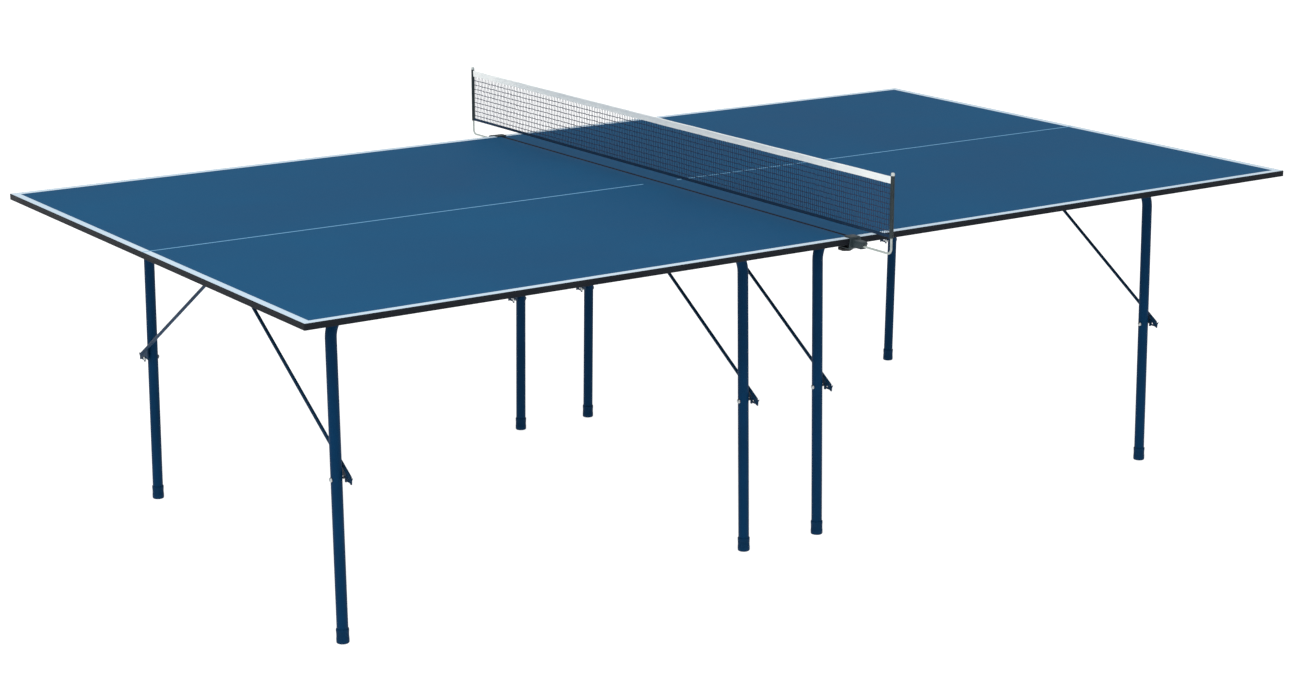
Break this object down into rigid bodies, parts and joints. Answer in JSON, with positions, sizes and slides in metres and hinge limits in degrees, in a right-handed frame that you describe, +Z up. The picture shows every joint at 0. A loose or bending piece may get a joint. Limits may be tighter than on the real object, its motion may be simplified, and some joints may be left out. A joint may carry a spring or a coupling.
{
  "type": "table tennis table",
  "caption": "Table tennis table: two blue half tops with white lines on folding tube leg frames with latching stays, and a clamp-on net.",
  "frame": {"origin": "on the floor, under the middle of the net line", "axes": "+X along the table's length, +Y across it towards the far side, +Z up"},
  "size_m": [2.74, 1.787, 0.928],
  "materials": {
    "board": "satin blue lacquer on particle board with painted white lines",
    "band": "satin black edging",
    "navy_tube": "semi-gloss navy powder coat",
    "stay_paint": "semi-gloss dark navy powder coat",
    "cap_plastic": "moulded",
    "zinc": "zinc plated",
    "clamp_paint": "dark grey-green textured coat",
    "net_yarn": "knotted dark blue nylon",
    "white_tape": "white cotton tape",
    "cord_white": "braided cord",
    "sleeve": "dark sleeve",
    "wire": "light grey coated wire",
    "cap_grey": "light grey moulded",
    "knob_black": "black moulded"
  },
  "bodies": {
    "table": {"top_panel_a": "board", "edge_band_a": "band", "bar_saddles_a": "zinc", "stay_brackets_a": "navy_tube", "stay_rivets_a": "zinc", "wood_screws_a": "zinc", "top_panel_b": "board", "edge_band_b": "band", "bar_saddles_b": "zinc", "stay_brackets_b": "navy_tube", "stay_rivets_b": "zinc", "wood_screws_b": "zinc", "joining_clips": "zinc", "joining_studs": "zinc", "net_mesh": "net_yarn", "net_tape": "white_tape", "net_top_cord": "cord_white", "net_bottom_cord": "net_yarn", "net_sleeve_near": "sleeve", "net_post_near": "wire", "post_cap_near": "cap_grey", "net_clamp_near": "clamp_paint", "net_sleeve_far": "sleeve", "net_post_far": "wire", "post_cap_far": "cap_grey", "net_clamp_far": "clamp_paint"},
    "frame_a_near": {"leg_frame_a_near": "navy_tube", "foot_caps_a_near": "cap_plastic", "latch_pins_a_near": "zinc"},
    "stay_a_near_end": {"stay_a_near_end": "stay_paint", "latch_a_near_end": "stay_paint"},
    "stay_a_near_net": {"stay_a_near_net": "stay_paint", "latch_a_near_net": "stay_paint"},
    "frame_a_far": {"leg_frame_a_far": "navy_tube", "foot_caps_a_far": "cap_plastic", "latch_pins_a_far": "zinc"},
    "stay_a_far_end": {"stay_a_far_end": "stay_paint", "latch_a_far_end": "stay_paint"},
    "stay_a_far_net": {"stay_a_far_net": "stay_paint", "latch_a_far_net": "stay_paint"},
    "frame_b_near": {"leg_frame_b_near": "navy_tube", "foot_caps_b_near": "cap_plastic", "latch_pins_b_near": "zinc"},
    "stay_b_near_end": {"stay_b_near_end": "stay_paint", "latch_b_near_end": "stay_paint"},
    "stay_b_near_net": {"stay_b_near_net": "stay_paint", "latch_b_near_net": "stay_paint"},
    "frame_b_far": {"leg_frame_b_far": "navy_tube", "foot_caps_b_far": "cap_plastic", "latch_pins_b_far": "zinc"},
    "stay_b_far_end": {"stay_b_far_end": "stay_paint", "latch_b_far_end": "stay_paint"},
    "stay_b_far_net": {"stay_b_far_net": "stay_paint", "latch_b_far_net": "stay_paint"},
    "pad_near": {"clamp_pad_near": "knob_black"},
    "screw_near": {"clamp_screw_near": "knob_black"},
    "pad_far": {"clamp_pad_far": "knob_black"},
    "screw_far": {"clamp_screw_far": "knob_black"}
  },
  "joints": [
    {"name": "fold_a_near", "type": "hinge", "parent": "table", "child": "frame_a_near", "pos_m": [-0.678, -0.55, 0.733], "axis": [1, 0, 0], "range_deg": [0, 84]},
    {"name": "stay_lift_a_near_end", "type": "hinge", "parent": "table", "child": "stay_a_near_end", "pos_m": [-1.184, -0.04, 0.718], "axis": [-1, 0, 0], "range_deg": [0, 30.7]},
    {"name": "stay_lift_a_near_net", "type": "hinge", "parent": "table", "child": "stay_a_near_net", "pos_m": [-0.134, -0.04, 0.718], "axis": [-1, 0, 0], "range_deg": [0, 30.7]},
    {"name": "fold_a_far", "type": "hinge", "parent": "table", "child": "frame_a_far", "pos_m": [-0.586, 0.55, 0.733], "axis": [-1, 0, 0], "range_deg": [0, 84]},
    {"name": "stay_lift_a_far_end", "type": "hinge", "parent": "table", "child": "stay_a_far_end", "pos_m": [-1.13, 0.04, 0.718], "axis": [1, 0, 0], "range_deg": [0, 30.7]},
    {"name": "stay_lift_a_far_net", "type": "hinge", "parent": "table", "child": "stay_a_far_net", "pos_m": [-0.08, 0.04, 0.718], "axis": [1, 0, 0], "range_deg": [0, 30.7]},
    {"name": "fold_b_near", "type": "hinge", "parent": "table", "child": "frame_b_near", "pos_m": [0.586, -0.55, 0.733], "axis": [1, 0, 0], "range_deg": [0, 84]},
    {"name": "stay_lift_b_near_end", "type": "hinge", "parent": "table", "child": "stay_b_near_end", "pos_m": [1.13, -0.04, 0.718], "axis": [-1, 0, 0], "range_deg": [0, 30.7]},
    {"name": "stay_lift_b_near_net", "type": "hinge", "parent": "table", "child": "stay_b_near_net", "pos_m": [0.08, -0.04, 0.718], "axis": [-1, 0, 0], "range_deg": [0, 30.7]},
    {"name": "fold_b_far", "type": "hinge", "parent": "table", "child": "frame_b_far", "pos_m": [0.678, 0.55, 0.733], "axis": [-1, 0, 0], "range_deg": [0, 84]},
    {"name": "stay_lift_b_far_end", "type": "hinge", "parent": "table", "child": "stay_b_far_end", "pos_m": [1.184, 0.04, 0.718], "axis": [1, 0, 0], "range_deg": [0, 30.7]},
    {"name": "stay_lift_b_far_net", "type": "hinge", "parent": "table", "child": "stay_b_far_net", "pos_m": [0.134, 0.04, 0.718], "axis": [1, 0, 0], "range_deg": [0, 30.7]},
    {"name": "pad_travel_near", "type": "slide", "parent": "table", "child": "pad_near", "axis": [0, 0, -1], "range_m": [0, 0.0042]},
    {"name": "screw_turn_near", "type": "hinge", "parent": "pad_near", "child": "screw_near", "pos_m": [0, -0.7295, 0.742], "axis": [0, 0, 1], "range_deg": [0, 1209.7]},
    {"name": "pad_travel_far", "type": "slide", "parent": "table", "child": "pad_far", "axis": [0, 0, -1], "range_m": [0, 0.0042]},
    {"name": "screw_turn_far", "type": "hinge", "parent": "pad_far", "child": "screw_far", "pos_m": [0, 0.7295, 0.742], "axis": [0, 0, 1], "range_deg": [0, 1209.7]}
  ],
  "couplings": [
    {"joint": "stay_lift_a_near_end", "follows": "fold_a_near", "ratio": 0.365},
    {"joint": "stay_lift_a_near_net", "follows": "fold_a_near", "ratio": 0.365},
    {"joint": "stay_lift_a_far_end", "follows": "fold_a_far", "ratio": 0.365},
    {"joint": "stay_lift_a_far_net", "follows": "fold_a_far", "ratio": 0.365},
    {"joint": "stay_lift_b_near_end", "follows": "fold_b_near", "ratio": 0.365},
    {"joint": "stay_lift_b_near_net", "follows": "fold_b_near", "ratio": 0.365},
    {"joint": "stay_lift_b_far_end", "follows": "fold_b_far", "ratio": 0.365},
    {"joint": "stay_lift_b_far_net", "follows": "fold_b_far", "ratio": 0.365},
    {"joint": "screw_turn_near", "follows": "pad_travel_near", "rad_per_m": 5026.6},
    {"joint": "screw_turn_far", "follows": "pad_travel_far", "rad_per_m": 5026.6}
  ]
}
